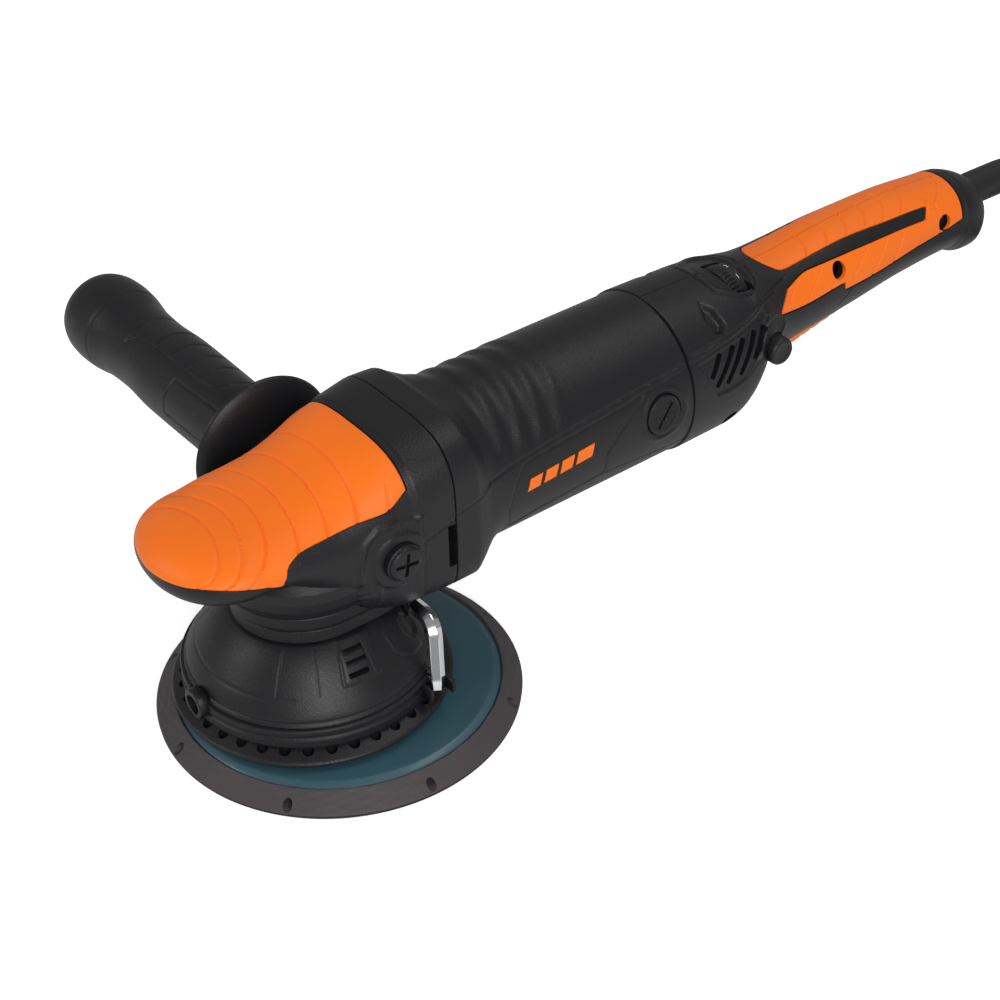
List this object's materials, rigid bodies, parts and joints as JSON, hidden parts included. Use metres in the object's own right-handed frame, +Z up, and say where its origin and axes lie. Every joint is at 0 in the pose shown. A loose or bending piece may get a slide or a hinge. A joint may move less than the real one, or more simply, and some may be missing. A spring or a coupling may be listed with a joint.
{
  "type": "random orbital polisher",
  "caption": "Corded long-throw random orbital polisher with a round backing plate, palm-shaped head cover, side handle, speed dial, trigger and rear handle.",
  "frame": {"origin": "on the drive spindle's axis, in the plane of the backing plate's hook face", "axes": "+Z up along the spindle, +X from the nose towards the rear handle, +Y towards the side handle"},
  "size_m": [0.6183, 0.3235, 0.1238],
  "materials": {
    "black_housing": "fine spark texture, satin",
    "gloss_black": "polished",
    "orange_grip": "soft-touch overmould",
    "black_rubber": "matt",
    "pad_foam": "moulded polyurethane foam",
    "teal_board": "pressed fibre laminate, satin",
    "steel": "turned",
    "chrome_steel": "bright plated",
    "copper_wire": "enamelled copper",
    "brass": "plain",
    "carbon": "pressed graphite",
    "cast_aluminium": "die cast",
    "hook_fabric": "short stiff hooks"
  },
  "bodies": {
    "tool": {"gear_housing": "black_housing", "bore_plug": "black_housing", "motor_housing": "black_housing", "rear_shell_left": "black_housing", "rear_shell_right": "black_housing", "switch_body": "black_housing", "speed_module": "black_housing", "brush_cap_left": "black_housing", "brush_cap_right": "black_housing", "shroud": "black_housing", "vent_ring": "black_housing", "shroud_band": "gloss_black", "hand_guard": "gloss_black", "palm_cover": "orange_grip", "upper_grip_left": "orange_grip", "upper_grip_right": "orange_grip", "lower_grip_left": "orange_grip", "lower_grip_right": "orange_grip", "side_handle_grip": "black_rubber", "strain_relief": "black_rubber", "cord": "black_rubber", "cord_coil": "black_rubber", "cord_tail": "black_rubber", "plug": "black_rubber", "pinion_bearing": "steel", "spindle_upper_bearing": "steel", "spindle_lower_bearing": "steel", "rear_bearing": "steel", "side_handle_stud": "steel", "shell_screw_1": "steel", "shell_screw_2": "steel", "shell_screw_3": "steel", "stator_core": "steel", "field_coil_upper": "copper_wire", "field_coil_lower": "copper_wire", "brush_holder_left": "brass", "brush_holder_right": "brass", "carbon_brush_left": "carbon", "carbon_brush_right": "carbon", "bearing_plate": "cast_aluminium", "cord_tie": "hook_fabric"},
    "armature": {"armature_shaft": "steel", "bevel_pinion": "steel", "armature_core": "steel", "armature_windings": "copper_wire", "commutator": "copper_wire", "cooling_fan": "black_housing"},
    "spindle": {"spindle": "steel", "bevel_wheel": "steel", "eccentric_carrier": "steel", "pad_bearing": "steel"},
    "backing_plate": {"pad_spindle": "steel", "backing_board": "teal_board", "foam_rim": "pad_foam", "hook_face": "hook_fabric", "pad_bolt": "steel"},
    "trigger": {"trigger": "orange_grip"},
    "lock_button": {"lock_button": "black_housing"},
    "speed_dial": {"speed_dial": "black_housing"},
    "hex_key": {"hex_key": "chrome_steel"}
  },
  "joints": [
    {"name": "armature_spin", "type": "hinge", "parent": "tool", "child": "armature", "pos_m": [0.1, 0, 0.0853], "axis": [1, 0, 0], "continuous": true},
    {"name": "spindle_spin", "type": "hinge", "parent": "tool", "child": "spindle", "pos_m": [0, 0, 0.05], "axis": [0, 0, 1], "continuous": true},
    {"name": "pad_spin", "type": "hinge", "parent": "spindle", "child": "backing_plate", "pos_m": [0.00927, -0.00493, 0.01], "axis": [0, 0, 1], "continuous": true},
    {"name": "trigger_pull", "type": "hinge", "parent": "tool", "child": "trigger", "pos_m": [0.316, 0, 0.088], "axis": [0, 1, 0], "range_deg": [0, 4], "stiffness_Nm_per_rad": 3, "springref_deg": -5.73},
    {"name": "lock_button_press", "type": "slide", "parent": "tool", "child": "lock_button", "axis": [0, 1, 0], "range_m": [0, 0.0035], "stiffness_N_per_m": 600, "springref_m": -0.003},
    {"name": "dial_turn", "type": "hinge", "parent": "tool", "child": "speed_dial", "pos_m": [0.2175, -0.003, 0.107], "axis": [1, 0, 0], "range_deg": [0, 270]},
    {"name": "key_out", "type": "slide", "parent": "tool", "child": "hex_key", "axis": [0, -1, 0], "range_m": [0, 0.085]}
  ],
  "couplings": [
    {"joint": "armature_spin", "follows": "spindle_spin", "ratio": 4}
  ]
}
